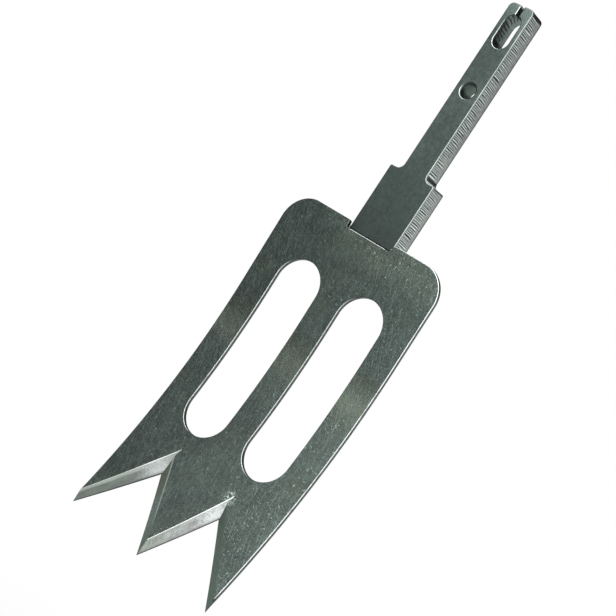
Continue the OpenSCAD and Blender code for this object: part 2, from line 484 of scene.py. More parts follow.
def steel(name, look, *given):
    """A metal whose colour, roughness, relief and relief height come from the function look. Where a
    look measures a place in the head, or a depth, its numbers are in metres."""
    material = bpy.data.materials.new(name)
    bench = emptied(material)
    place = bench.node("ShaderNodeTexCoord", out="Object")
    shade, roughness, relief, height = look(bench, place, *given)
    bump = bench.node("ShaderNodeBump", None, {"Height": relief, "Distance": height})
    surface = bench.node("ShaderNodeBsdfPrincipled", None, {
        "Base Color": shade, "Metallic": 1.0, "Roughness": roughness, "Normal": bump})
    bench.node("ShaderNodeOutputMaterial", None, {"Surface": surface})
    return material


# For each set of scratches: its angle in degrees, a scratch's width and length, and how much it covers
SCRATCHES = ((24, 0.00022, 0.009, 0.055), (-41, 0.0002, 0.007, 0.05), (72, 0.0002, 0.006, 0.045),
             (8, 0.00018, 0.012, 0.04), (3, 0.0003, 0.022, -0.03))


def scratches(bench, place, angle, width, length, share):
    """Thin straight scratches that run at an angle across X and Z."""
    turned = bench.node("ShaderNodeVectorRotate", {"rotation_type": "Y_AXIS"},
                        {"Vector": place, "Angle": math.radians(angle)})
    stretched = bench.node("ShaderNodeVectorMath", {"operation": "MULTIPLY"},
                           {0: turned, 1: (1 / width, 0.02 / width, 1 / length)})
    return bench.noise(stretched, 1.0, detail=0.0).step(0.74 - share, 0.80 - share)


def ground_sheet(bench, place, shade, bend_sheen, burr_glint_at, heated=False):
    """Ground sheet: mottled, with clouds, flecks and crossing scratches, with painted shade towards the left
    and in a band near the top, and browner in its upper half. A paler band of painted reflection crosses it
    where it bends, with a band of painted shade above, and the burr at the top of the right gap's bevels has
    a painted glint. Heated sheet is tinted round the bar."""
    x, _, z = bench.parts(place)
    cloud = bench.noise(place, 30, detail=4)
    tan = bench.noise(place, 62, detail=5, roughness=0.62).step(0.50, 0.70)
    fleck = bench.noise(place, 1150, detail=3, roughness=0.7)
    mottle = bench.noise(place, 420, detail=3, roughness=0.65)
    spot = bench.noise(place, 900, detail=0).step(0.72, 0.80)
    marks = sum(scratches(bench, place, *row) for row in SCRATCHES).clamp()
    # Painted glint on the burr at the top of the right gap's bevels.
    off = bench.node("ShaderNodeVectorMath", {"operation": "SUBTRACT"}, {0: place, 1: burr_glint_at})
    burr_glint = bench.node("ShaderNodeVectorMath", {"operation": "LENGTH"}, {0: off}, "Value")
    burr_glint = burr_glint.step(0.0055, 0.002) * fleck.step(0.49, 0.62)
    # Painted shade: the sheet is darker towards the left.
    dark = (x + cloud * 0.03).step(0.01, -0.04)
    lively = x.step(-0.02, 0.045)
    high = z.step(-0.16, -0.11)
    # Painted shade in a band near the top, reaching higher on the left.
    shaded_band = (z - x.step(0.0, -0.04) * 0.02).step(-0.100, -0.110) * z.step(-0.158, -0.142)
    # The press band: a painted reflection across the bend, paler, with painted shade in a band above it.
    away = (z - bend_sheen[0]) / bend_sheen[1] + (mottle - 0.5) * 0.9 + (cloud - 0.5) * 1.6
    pale = (away * away * -1.0).maths("EXPONENT")
    dim = ((away - 1.8) * (1.8 - away)).maths("EXPONENT")
    base = bench.coats(
        scaled(shade, 0.88), shade,
        (cloud.step(0.34, 0.66), 1.16),
        (dark * 0.5, 0.53, 0.57, 0.6),
        (tan * (0.3 + high * 0.4), 1.25, 1.15, 0.82),
        (high * 0.35, 1.05, 1.05, 0.85),
        (mottle.step(0.62, 0.36) * 0.35, 0.5),
        (fleck.step(0.44, 0.74) * (0.4 + lively * 0.2), 2.3),
        (spot * (0.25 + lively * 0.3), 5),
        (burr_glint * 0.8, 10),
        (marks * (0.25 + lively * 0.3), 3.6),
        (dim * 0.4, 0.85, 0.78, 0.6),
        (pale * (0.3 + lively * 0.25), 2.3, 2.15, 1.8))
    # Painted shade over that band.
    base = bench.blend(shaded_band, base, (0.77, 0.79, 0.82), "MULTIPLY")
    if heated:
        base = heat_tint(bench, place, base)
    roughness = 0.33 + fleck * 0.08 + tan * 0.05 - marks * 0.06
    return base, roughness, fleck * 0.5 + mottle * 0.5 - marks * 0.8, 0.05 * MM


def heat_tint(bench, place, base):
    """Straw, brown and blue bands round the end of the bar."""
    x, _, z = bench.parts(place)
    beside = (x.maths("ABSOLUTE") - bar_high.x).maths("MAXIMUM", 0.0)
    below = (bar_low.z - z).maths("MAXIMUM", 0.0)
    away = (beside * beside + below * below).maths("SQRT")
    away = away + (bench.noise(place, 160, detail=2) - 0.5) * 0.004
    reach = 0.013
    tint = bench.node("ShaderNodeValToRGB", {"stops": (
        (0.0, (0.06, 0.066, 0.072)), (0.34, (0.052, 0.064, 0.092)), (0.5, (0.08, 0.064, 0.076)),
        (0.66, (0.125, 0.096, 0.066)), (0.82, (0.115, 0.108, 0.086)), (1.0, (0.08, 0.096, 0.088)))},
        {0: away / reach})
    return bench.blend((1 - away.step(0.007, reach)) * 0.85, base, tint)


def ground_bevel(bench, place, shade, unlit_colour, width):
    """Bevels with streaks along the edge and a darker strip at the edge. Those that face right are painted
    as a lit copy, with a painted highlight along the ridge and painted sparkle near the top of the gap;
    those that face left are an unlit copy in the colour of the sheet. The left gap's lit bevel is smooth
    further down, and its unlit one has a line of painted highlight near the gap's top."""
    smooth_dark, smooth_light = (0.036, 0.043, 0.0375), (0.05, 0.059, 0.052)
    smooth_ridge, tip_shade = (0.1, 0.114, 0.104), (0.085, 0.1, 0.08)
    along, across, _ = bench.parts(bench.node("ShaderNodeUVMap", {"uv_map": "grind"}))
    left = bench.parts(place)[0].step(0.0, -0.01)
    right = 1 - left
    # Painted light: bevels that face right take the lit copy, those that face left the unlit one.
    lit_facing = bench.attribute("facing").step(-0.02, 0.02)
    streak = bench.strokes(along * 90, across * width * 1100, 0.0, detail=4, roughness=0.7)
    broad = bench.strokes(along * 45, across * width * 150, 3.0, detail=2)
    scuff = bench.strokes((along + across * 0.004) * 1500, across * width * 260, 5.0, detail=2)
    chatter = bench.noise(place, 900, detail=3, roughness=0.7)
    # Painted highlight along the ridge of the lit bevels.
    ridge = (across + (chatter - 0.5) * 0.10).step(0.92, 0.98)
    strip = 1 - (across + (broad - 0.5) * 0.2).step(0.14, 0.24)
    at_top, past_top = along.step(0.02, 0.004), along.step(0.004, 0.02)
    upper, lower = along.step(0.036, 0.02), along.step(0.014, 0.046)
    far = (along + broad * 0.012).step(0.000, 0.03)
    # Painted sparkle near the top of the gap on the lit bevels.
    near = (along + (chatter - 0.5) * 0.016).step(0.013, 0.002)
    # Painted highlight line near the ridge of the left gap's unlit bevel.
    line = ((across + (chatter - 0.5) * 0.15).step(0.74, 0.86)
            * (1 - (across + (chatter - 0.5) * 0.1).step(0.93, 1.0)))
    smooth = bench.blend(streak.step(0.35, 0.65), smooth_dark, smooth_light)
    smooth = bench.blend((across + (broad - 0.5) * 0.3).step(0.62, 0.8), smooth, smooth_ridge)
    bright = bench.coats(
        scaled(shade, 0.7), shade,
        (streak.step(0.3, 0.7), 1.35),
        (broad.step(0.4, 0.7) * 0.25, 1.5),
        (left * 0.25, 0.75))
    bright = bench.blend(lower * 0.6, bright, tip_shade)
    bright = bench.blend(left * far * 0.9, bright, smooth)
    bright = bench.coats(
        bright, shade,
        (scuff.step(0.52, 0.66) * (0.5 - left * 0.35), 0.45),
        (near * 0.35, 3.0),
        (strip * 0.4, 0.55),
        (ridge * (0.7 - left * past_top * 0.55), 4.0),
        (right * chatter.step(0.45, 0.75) * 0.4, 0.6),
        (across.step(0.12, 0.05) * 0.9, 0.08))
    unlit_bevel = bench.coats(
        scaled(unlit_colour, 2.1), unlit_colour,
        (chatter.step(0.35, 0.7), 3.8),
        (right * 0.65, 1.4, 1.75, 1.4),
        (streak.step(0.45, 0.75) * 0.35, 2.6),
        (left * at_top * 0.6, 1.7, 1.5, 0.9),
        (line * upper * left * 0.8, 7.0))
    roughness = 0.28 + streak * 0.1 + chatter * 0.08
    return bench.blend(lit_facing, unlit_bevel, bright), roughness, streak + chatter * 0.4, 0.04 * MM


def rolled_bar(bench, place, shade, contact_shadow_z):
    """Rolled bar: smooth, with a faint grain along it, worn paler at the tip and darker towards the blade,
    with a painted contact shadow along the joint."""
    x, y, z = bench.parts(place)
    grain = bench.strokes(x * 1900, 0.0, z * 60, detail=3, roughness=0.6)
    cloud = bench.noise(place, 42, detail=3)
    mottle = bench.noise(place, 330, detail=3, roughness=0.6)
    fleck = bench.noise(place, 900, detail=2, roughness=0.7)
    wear_and_highlight = bench.noise(place, 420, detail=3, roughness=0.7)
    tip = (z + x * 0.9 + wear_and_highlight * 0.02).step(0.036, 0.066)
    bottom = (z * -1 + cloud * 0.02).step(0.04, 0.105)
    front = 1 - (y - bar_low.y).step(0.001, 0.003)
    # Painted contact shadow on the bar's front just above the notch's bottom.
    contact_shadow = (z - contact_shadow_z + (mottle - 0.5) * 0.001).step(0.0011, 0.0004) * front
    base = bench.coats(
        scaled(shade, 0.86), shade,
        (cloud.step(0.35, 0.68), 1.2),
        (mottle.step(0.6, 0.36) * 0.5, 0.55),
        (grain.step(0.35, 0.75) * 0.22, 1.5),
        (fleck.step(0.5, 0.72) * 0.3, 2.0),
        (tip * 0.6, 2.4),
        (bottom * 0.65, 0.45),
        (contact_shadow * 0.85, 0.1))
    return base, 0.34 + grain * 0.08, grain * 0.6 + fleck * 0.3, 0.02 * MM


def cut_pattern(bench, reach, deep, gap, slant, seed):
    """The strokes of the cut across a wall, in groups with ragged ends, and the crests between them,
    from the reach along the wall and the depth behind the front."""
    share = deep / (bar_high.y - bar_low.y)
    line = (reach + deep * slant + share * share * 0.0012) / gap
    wander = bench.strokes(line * 0.31, share * 0.3, seed, detail=1.0) - 0.5
    wave = ((line + wander * 2.2) * math.tau).maths("SINE") * 0.5 + 0.5
    group = bench.strokes(line * 0.25, share * 1.2, seed + 5, detail=1.0).step(0.32, 0.5)
    single = bench.strokes(line * 0.8, share * 0.5, seed + 9, detail=0.0).step(0.32, 0.6)
    ragged = bench.strokes(line * 0.9, 0.0, seed + 13, detail=1.0) - 0.5
    zone = share.step(0.06, 0.11) * (1 - (share + ragged * 1.1).step(0.50, 0.72) * 0.88)
    group = (group * 0.65 + 0.35) * (single * 0.45 + 0.55) * zone
    return wave.step(0.36, 0.7) * group, wave.step(0.4, 0.05) * group


def cut_side(bench, place, shade, gap, slant, seed):
    """Cut sides: pale and matte, with dark strokes between crests that carry a painted highlight. Painted
    shade lies on the arrises that face left and where the walls turn up into a shoulder or round a corner,
    and painted light on the shoulders' level ends. Inside the openings the walls are darker, with painted
    shadow behind the lower left of the rim, a painted highlight on the rim there and on the slit's wall,
    and painted shade on the rest of the rim. The key slot's wall has bold strokes and blotches."""
    x, y, z = bench.parts(place)
    deep = y - bar_low.y
    along = bench.attribute("along")
    # crest marks the crests between the cut marks, which get a painted highlight.
    groove, crest = cut_pattern(bench, along, deep, gap, slant, seed)
    hole = bench.attribute("hole")
    key = bench.attribute("key")
    inside = hole + key
    outside = 1 - inside
    rim = bench.attribute("arris").step(0.5, 0.9)
    out_x, _, out_z = bench.parts(bench.attribute("cut_out", "Vector"))
    low_left = (out_x * 0.55 + out_z * 0.83).step(0.1, 0.85)
    grit = bench.noise(place, 1300, detail=2)
    cloud = bench.noise(place, 160, detail=2)
    blotch = bench.noise(place, 620, detail=2)
    fibre = bench.strokes(along * 2600, deep * 240, 0.0, detail=2)
    across = bench.strokes((along + deep * 0.5) * 1700, deep * 320, 4.0, detail=2)
    tang = z.step(-0.05, -0.025)
    key_top = z.step(0.028, 0.042)
    near_back = deep.step(0.0104, 0.0114)
    # Painted shade on the arrises that face left.
    far_left = out_x.step(0.2, -0.3)
    shoulder = z.step(-0.042, -0.048)
    # Painted light on the shoulders' level ends.
    level = shoulder * out_z.step(0.45, 0.85)
    # Painted shade where a wall turns up into a shoulder or round a corner.
    turned = out_z.step(0.02, 0.14) * out_z.step(0.99, 0.85) * outside * deep.step(0.0006, 0.0022)
    turned = turned * (1 - shoulder * out_z.step(0.35, 0.75) * 0.8)
    bold = ((along + deep * 0.25) / 0.0021 + cloud * 1.5) * math.tau
    bold = bold.maths("SINE").step(-0.1, 0.6) * (1 - (deep + cloud * 0.004).step(0.008, 0.0115))
    # Painted shadow on the bore walls behind the lower left of the rims, deepest in the key slot.
    bore_shadow = low_left * (1 - (deep + cloud * 0.0015).step(0.0035, 0.006))
    key_slot_shadow = low_left.step(0.55, 0.95) * (1 - deep.step(0.006, 0.009)) * key
    bore_shadow = bore_shadow.maths("MAXIMUM", key_slot_shadow) * (1 - rim)
    # Painted highlight on the lower left of the inner rims and on the slit's wall, and painted shade on the
    # rest of the inner rims.
    lip = 0.75 - deep.step(0.0001, 0.00035) * 0.75
    slit = x.maths("ABSOLUTE").step(0.0023, 0.0018) * out_x.step(0.7, 0.95)
    lit = low_left * (lip * hole + key * (1 - z.step(0.030, 0.044) * 0.8))
    lit = lit.maths("MAXIMUM", slit)
    wall = bench.coats(scaled(shade, 0.26, 0.33, 0.3), shade, (key_top, 0.5, 0.6, 0.55))
    base = bench.coats(
        shade, shade,
        (tang, 0.74),
        (cloud.step(0.35, 0.7) * 0.4, 1.2),
        (across.step(0.52, 0.66) * 0.55, 0.35),
        (grit.step(0.4, 0.7) * 0.3, 1.45),
        (fibre.step(0.54, 0.66) * 0.5, 0.35),
        (rim * (1 - cloud * 0.8) * 0.8, 0.5),
        (rim * far_left * outside * 0.9, 0.1),
        (crest * outside * 0.9, 2.8),
        (groove * (1 - hole), 0.1),
        (near_back * outside * 0.8, 0.2),
        (turned * 0.9, 0.06),
        (level * 0.8, 1.7),
        (hole * 0.85, 0.28, 0.37, 0.33))
    base = bench.blend(key * 0.75, base, wall)
    base = bench.coats(
        base, shade,
        (key * blotch.step(0.5, 0.66) * 0.5, 1.0),
        (key * bold * 0.85, 0.03),
        (inside * bore_shadow * 0.95, 0.015),
        (inside * rim * (1 - lit) * 0.93, 0.12),
        (inside * rim * lit * 0.8, 1.8))
    return base, 0.36 + grit * 0.12 + level * 0.5, grit, 0.03 * MM


def sheet_edge(bench, place, shade, highlight_colour):
    """The blade's own cut edges, with fine marks straight across the sheet. Their arrises carry a painted
    highlight where they face right, and in the notch and the top edge right of it, and painted shade
    elsewhere;
    the walls at the right top corner are painted lighter."""
    x, _, z = bench.parts(place)
    out_x, _, out_z = bench.parts(bench.attribute("cut_out", "Vector"))
    mark = bench.strokes(x * 1500, 0.0, z * 1500, detail=2)
    highlight_breakup = bench.noise(place, 260, detail=2)
    # Painted highlight on the arrises that face right, in the notch and along the top edge right of it,
    # broken up by noise; painted shade on the other arrises.
    notch = x.step(-0.0165, -0.0145) * z.step(-0.0945, -0.0925) * out_z.step(-0.5, 0.1)
    wear_and_highlight = (out_x + out_z * 0.3).step(0.3, 0.95).maths("MAXIMUM", notch)
    rim = bench.attribute("arris").step(0.5, 0.9)
    right_side = x.step(0.03, 0.045)
    # Painted light on the walls at the right top corner.
    right_corner = out_z.step(0.05, 0.4) * x.step(0.036, 0.044)
    arris = rim * (highlight_breakup.step(0.28, 0.5) * 0.5 + 0.5) * wear_and_highlight * (0.65 + right_side * 0.35)
    base = bench.coats(
        scaled(shade, 0.7), shade,
        (mark.step(0.35, 0.7), 1.5),
        (right_corner * 0.7, 2.6),
        (rim * (1 - wear_and_highlight) * 0.8, 0.3))
    base = bench.coats(base, highlight_colour, (arris, 1.0), (arris * out_z.step(0.6, 0.95), 1.4))
    return base, 0.32 + mark * 0.1, mark, 0.04 * MM


def weld_metal(bench, place, shade):
    """Weld metal: scaly grey with brown and blue oxide."""
    brown, blue = (0.11, 0.085, 0.07), (0.07, 0.08, 0.11)
    scale = bench.noise(place, 420, detail=4, roughness=0.65)
    oxide = bench.noise(place, 150, detail=2)
    base = bench.coats(scaled(shade, 0.6), shade, (scale.step(0.35, 0.7), 1.5))
    base = bench.blend(oxide.step(0.45, 0.7) * 0.5, base, brown)
    base = bench.blend(oxide.step(0.55, 0.3) * 0.4, base, blue)
    return base, 0.38 + scale * 0.2, scale, 0.12 * MM


# Relief


def sunk(name, inputs, pattern, index):
    """A modifier that sinks a pattern into a piece and puts one of its materials on that material's
    faces. The function pattern gives the depth, from how far along a point lies and the inputs."""
    def add(piece):
        tree = bpy.data.node_groups.new(name, "GeometryNodeTree")
        tree.interface.new_socket("Geometry", in_out="INPUT", socket_type="NodeSocketGeometry")
        values = {}
        for label, value in inputs.items():
            socket = tree.interface.new_socket(label, in_out="INPUT", socket_type="NodeSocketFloat")
            values[socket.identifier] = value
        tree.interface.new_socket("Geometry", in_out="OUTPUT", socket_type="NodeSocketGeometry")
        bench = Bench(tree)
        given = tree.nodes.new("NodeGroupInput").outputs
        metal, *sizes = [Wire(bench, given[i]) for i in range(1 + len(inputs))]
        depth = pattern(bench, bench.stored("along"), *sizes)
        shift = bench.node("ShaderNodeVectorMath", {"operation": "SCALE"},
                           {0: bench.stored("cut_out", "FLOAT_VECTOR"), "Scale": depth * -1})
        metal = bench.node("GeometryNodeSetPosition", None, {"Geometry": metal, "Offset": shift})
        metal = bench.node("GeometryNodeRealizeInstances", None, {"Geometry": metal})
        chosen = bench.node("FunctionNodeCompare", {"data_type": "INT", "operation": "EQUAL"},
                            {"A_INT": bench.node("GeometryNodeInputMaterialIndex"), "B_INT": index})
        metal = bench.node("GeometryNodeSetMaterial", None, {
            "Geometry": metal, "Selection": chosen, "Material": piece.data.materials[index]})
        bench.node("NodeGroupOutput", None, {"Geometry": metal})
        modifier = piece.modifiers.new(name, "NODES")
        modifier.node_group = tree
        for key, value in values.items():
            modifier[key] = value
    return add


def cut_marks(bench, reach, gap, depth, slant, seed):
    """Irregular marks across the walls of a plate, faint in the round hole."""
    _, y, _ = bench.parts(bench.node("GeometryNodeInputPosition"))
    groove, _ = cut_pattern(bench, reach, y - bar_low.y, gap, slant, seed)
    return groove * (1 - bench.stored("hole") * 0.9) * depth


def ripples(bench, reach, gap, depth, seed):
    """Crescent grooves between the ripples of a bead, and a scaly skin."""
    line = reach / gap
    wander = bench.strokes(line * 0.6, 0.0, seed, detail=1.0) - 0.5
    saw = (line + wander * 0.9).maths("FRACT")
    groove = saw * saw * (1 - saw.step(0.86, 1.0))
    rough = bench.noise(bench.node("GeometryNodeInputPosition"), 900, detail=2.0)
    return groove * depth + rough * depth * 0.35


# Shank


def shank_loops(sizes):
    """The bar's outline, with its slit and key slot, and the round cross hole."""
    step = sizes.mark_step
    neck, tang, slit = bar_high.x, sizes.tang_w / 2, sizes.slit_w / 2
    key_r = sizes.key_w / 2
    key_low = key_middle - sizes.key_l / 2 + key_r
    key_high = key_low + sizes.key_l - sizes.key_w
    side = [(neck, bar_low.z, 0), (neck, shoulder_z, sizes.shoulder_r), (tang, shoulder_z, sizes.fillet_r),
            (tang, bar_high.z, sizes.tip_r), (slit, bar_high.z, sizes.prong_r)]
    opening = math.acos(slit / key_r)
    side += [(*p, 0) for p in arc((0, key_high), key_r, opening, 0, step)]
    side += [(*p, 0) for p in arc((0, key_low), key_r, 0, -math.pi / 2, step)]
    hole = [(*p, 0) for p in reversed(arc((0, 0), hole_r, 0, math.tau, step))]
    return [outline([(0, bar_low.z, 0)] + side + mirrored(side)[1:], step, step), outline(hole, step, step)]


def sheet_surfaces(sizes, z):
    """How far forward the blade's front and back lie at a height."""
    top_z, lean = blade_high.z, sizes.lean
    flat_y = bar_low.y + sizes.flat_l * math.tan(lean)
    outer = sizes.bend_r + sizes.sheet_t
    centre_y = flat_y - outer * math.cos(lean)
    centre_z = top_z - sizes.flat_l - outer * math.sin(lean)
    found = []
    for radius, skin in ((sizes.bend_r, sizes.sheet_t / math.cos(lean)), (outer, 0.0)):
        if z > centre_z + radius * math.sin(lean):
            found.append(bar_low.y + (top_z - z) * math.tan(lean) - skin)
        else:
            found.append(centre_y + math.sqrt(radius ** 2 - (z - centre_z) ** 2))
    return found


class HOE_OT_shank(bpy.types.Operator):
    """Cuts the bar with its forked tang and the marks of the cut on its sides"""

    bl_idname = "hoe.shank"
    bl_label = "Shank"

    def execute(self, context):
        sizes = context.scene.hoe_shank
        blade = context.scene.hoe_blade
        thickness = bar_high.y - bar_low.y
        arris_rows, wall_rows = 5, 20
        profiles = (edge_profile(thickness, sizes.edge_r, arris_rows, wall_rows),
                    edge_profile(thickness, sizes.edge_r, arris_rows, wall_rows, sizes.chamfer))
        shape = plate(shank_loops(sizes), profiles)
        hole = shape.verts.layers.float.new("hole")
        key = shape.verts.layers.float.new("key")
        hole_rim, key_rim, tip_rim = 1.2 * MM, 0.7 * MM, 1 * MM
        key_x = sizes.key_w / 2 + key_rim
        key_z = key_middle - sizes.key_l / 2 - key_rim
        for vert in shape.verts:
            x, _, z = vert.co
            vert[hole] = float(math.hypot(x, z) < hole_r + hole_rim)
            vert[key] = float(abs(x) < key_x and key_z < z < bar_high.z - tip_rim)
            front = bar_low.y
            if z < blade_high.z:
                front = sheet_surfaces(blade, z)[1]
            vert.co.y = bar_high.y - (thickness - vert.co.y) * (bar_high.y - front) / thickness
        gap, slant, seed = sizes.mark_gap, sizes.mark_slant, float(sizes.mark_seed)
        # The bar's look paints a contact shadow just above the notch's bottom.
        materials = (steel("rolled_bar", rolled_bar, sizes.face, blade_high.z - blade.notch_d),
                     steel("cut_side", cut_side, sizes.cut, gap, slant, seed))
        inputs = {"Gap": gap, "Depth": sizes.mark_depth, "Slant": slant, "Seed": seed}
        marks = sunk("cut_marks", inputs, cut_marks, 1)
        piece = finished(shape, "shank_bar", materials, (marks, even_shading))
        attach(piece, "root")
        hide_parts("shank")
        return {"FINISHED"}


# Blade

# The longest straight run on the blade's curves, and the height of the strips that it is bent in
CURVE_STEP = 0.8 * MM
STRIP_H = 3 * MM


def blade_loops(sizes, neck_half):
    """The blade's outline, with metal left on at the tips and gaps for the wheels to take off, and
    its two long slots."""
    top_z, tine_z = blade_high.z, blade_low.z
    half = sizes.top_w / 2
    notch = neck_half + sizes.notch_room
    gap_x = sizes.gap_spacing / 2
    tip_x = half - sizes.taper * (top_z - tine_z + sizes.spare) / (top_z - tine_z)

    def side(lip_r):
        return [(gap_x, tine_z + sizes.gap_h - sizes.spare, 0), (tip_x, tine_z - sizes.spare, 0),
                (half, top_z, sizes.corner_r), (notch, top_z, lip_r),
                (notch, top_z - sizes.notch_d, sizes.notch_r)]

    corners = [(0, tine_z - sizes.spare, 0)] + side(sizes.right_lip_r) + mirrored(side(sizes.left_lip_r))
    edge = outline(corners, CURVE_STEP, STRIP_H)
    slot_high = top_z - sizes.slot_drop
    slot_r = sizes.slot_w / 2
    slots = []
    for x in (-sizes.slot_spacing / 2, sizes.slot_spacing / 2):
        low = arc((x, slot_high - sizes.slot_l + slot_r), slot_r, 0, -math.pi, CURVE_STEP)
        high = arc((x, slot_high - slot_r), slot_r, math.pi, 0, CURVE_STEP)
        slots.append(low + high)
    return [edge] + slots


def grinding_wheel(sizes, side):
    """The metal that grinding takes off the front and out of one gap. Its working face goes from the
    left tip up to the top of the gap, which the last grind overran, and down to the right tip."""
    tine_z = blade_low.z
    gap = Vector((side * sizes.gap_spacing / 2, tine_z + sizes.gap_h))
    top = gap + Vector((sizes.grind_top_shift - side * sizes.grind_top_in,
                        sizes.grind_top_h - side * sizes.grind_top_tilt))
    drift = 0.2
    rest = top - Vector((sizes.overrun * drift, sizes.overrun))
    tip_x = side * (sizes.top_w / 2 - sizes.taper)
    outer = (Vector((tip_x, tine_z)), Vector((tip_x, tine_z + sizes.grind_outer_h)))
    middle = (Vector((0, tine_z)), Vector((0, tine_z + sizes.grind_middle_h)))
    left, right = (middle, outer) if side > 0 else (outer, middle)
    steps, past_tip, past_top, past_edge, short_of_gap = 16, 0.12, 0.12, 0.02, 0.995
    shares = [-past_tip + (1 + past_tip) * i / steps for i in range(steps + 1)]
    pairs = [(left[0].lerp(gap, t), left[1].lerp(top, t)) for t in shares]
    pairs += [(right[0].lerp(gap, t * short_of_gap), right[1].lerp(rest, t)) for t in reversed(shares)]
    shape = bmesh.new()
    rungs = []
    past_front, past_back, past_point = 20 * MM, 1 * MM, 3 * sizes.spare
    forward, below = Vector((0, -past_front, 0)), Vector((0, past_back, -past_point))
    for edge, ridge in pairs:
        back = Vector((edge.x, sizes.sheet_t, edge.y))
        front = Vector((ridge.x, 0, ridge.y))
        ends = (back.lerp(front, -past_edge), back.lerp(front, 1 + past_top))
        corners = (ends[0], ends[1], ends[1] + forward, ends[0] + below + forward, ends[0] + below)
        rungs.append([shape.verts.new(co) for co in corners])
    return closed(shape, rungs)


def map_bevels(shape, sizes, material_index):
    """Gives each ground face its place along the edge, from the top of its gap, its share of the way
    from the edge to the ridge, and whether it faces right."""
    grind = shape.loops.layers.uv.new("grind")
    facing = shape.faces.layers.float.new("facing")
    apex = Vector((sizes.gap_spacing / 2, blade_low.z + sizes.gap_h))
    for face in shape.faces:
        if face.material_index == material_index:
            face[facing] = face.normal.x
            side = math.copysign(1, face.calc_center_median().x)
            for corner in face.loops:
                x, y, z = corner.vert.co
                corner[grind].uv = ((Vector((side * x, z)) - apex).length, 1 - y / sizes.sheet_t)


def blade_blank(sizes):
    """The flat blade before grinding. Material 0 is on its front, 1 on its back and 2 on its edges.
    The notch's corners under the neck get no share of arris, so no painted highlight or shade lies on them."""
    loops = blade_loops(sizes, bar_high.x)
    arris_rows, wall_rows = 4, 2
    profile = edge_profile(sizes.sheet_t, sizes.edge_r, arris_rows, wall_rows)
    shape = plate(loops, [profile] * len(loops))
    arris = shape.verts.layers.float["arris"]
    notch_z = blade_high.z - sizes.notch_d - sizes.edge_r
    for vert in shape.verts:
        past = abs(vert.co.x) - bar_high.x - sizes.notch_room
        if -sizes.notch_r < past < sizes.left_lip_r and vert.co.z > notch_z:
            vert[arris] = 0.0
    for face in shape.faces:
        if face.material_index == 1:
            face.material_index = 2
        elif face.normal.y > 0:
            face.material_index = 1
    return shape


def split(shape, sizes):
    """Splits the ground blade below its flat top into strips, so that it can bend."""
    touching = 1e-7
    bmesh.ops.remove_doubles(shape, verts=shape.verts, dist=touching)
    height = blade_high.z - sizes.flat_l
    while height > blade_low.z:
        bmesh.ops.bisect_plane(shape, geom=[*shape.verts, *shape.edges, *shape.faces], dist=touching,
                               plane_co=(0, 0, height), plane_no=(0, 0, 1))
        height -= STRIP_H
    bmesh.ops.dissolve_verts(shape, verts=[vert for vert in shape.verts if len(vert.link_edges) == 2])


def bend(shape, sizes):
    """Bends the blade and leans it back, inside the CAD's own box."""
    for vert in shape.verts:
        front, back = sheet_surfaces(sizes, vert.co.z)
        vert.co.y = max(front + (back - front) * vert.co.y / sizes.sheet_t, blade_low.y)
        vert.co.z = max(vert.co.z, blade_low.z)


class HOE_OT_blade(bpy.types.Operator):
    """Cuts, grinds and bends the blade"""

    bl_idname = "hoe.blade"
    bl_label = "Blade"

    def execute(self, context):
        sizes = context.scene.hoe_blade
        # Height and size of the painted reflection across the bend.
        bend_sheen = (blade_high.z - sizes.sheen_drop, sizes.sheen_h)
        # Place of the burr's painted glint.
        burr_z = blade_low.z + sizes.gap_h + sizes.grind_top_h - sizes.grind_top_tilt
        burr_left, burr_out, burr_drop = 1.6 * MM, 2 * MM, 2 * MM
        burr_glint_at = (sizes.gap_spacing / 2 - burr_left, sheet_surfaces(sizes, burr_z)[0] - burr_out,
                   burr_z - burr_drop)
        materials = (
            steel("ground_sheet", ground_sheet, sizes.face, bend_sheen, burr_glint_at),
            steel("ground_sheet_back", ground_sheet, sizes.face, bend_sheen, burr_glint_at, True),
            steel("sheet_edge", sheet_edge, sizes.edge, sizes.arris),
            steel("ground_bevel", ground_bevel, sizes.bright, sizes.face, sizes.sheet_t))
        wheels = [meshed(grinding_wheel(sizes, side), "grinding_wheel", materials[-1:]) for side in (1, -1)]

        def grind(piece):
            for wheel in wheels:
                modifier = piece.modifiers.new("grind", "BOOLEAN")
                modifier.operation = "DIFFERENCE"
                modifier.solver = "EXACT"
                modifier.object = wheel
                modifier.material_mode = "TRANSFER"

        piece = finished(blade_blank(sizes), "blade_sheet", materials, (grind,))
        for wheel in wheels:
            bpy.data.objects.remove(wheel)
        shape = bmesh.new()
        shape.from_mesh(piece.data)
        split(shape, sizes)
        names = [material.name for material in piece.data.materials]
        map_bevels(shape, sizes, names.index("ground_bevel"))
        sharp = math.radians(40)
        for edge in shape.edges:
            edge.smooth = edge.calc_face_angle(0.0) < sharp
        bend(shape, sizes)
        shape.to_mesh(piece.data)
        shape.free()
        even_shading(piece)
        baked(piece)
        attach(piece, "root")
        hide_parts("blade")
        return {"FINISHED"}


# Welds


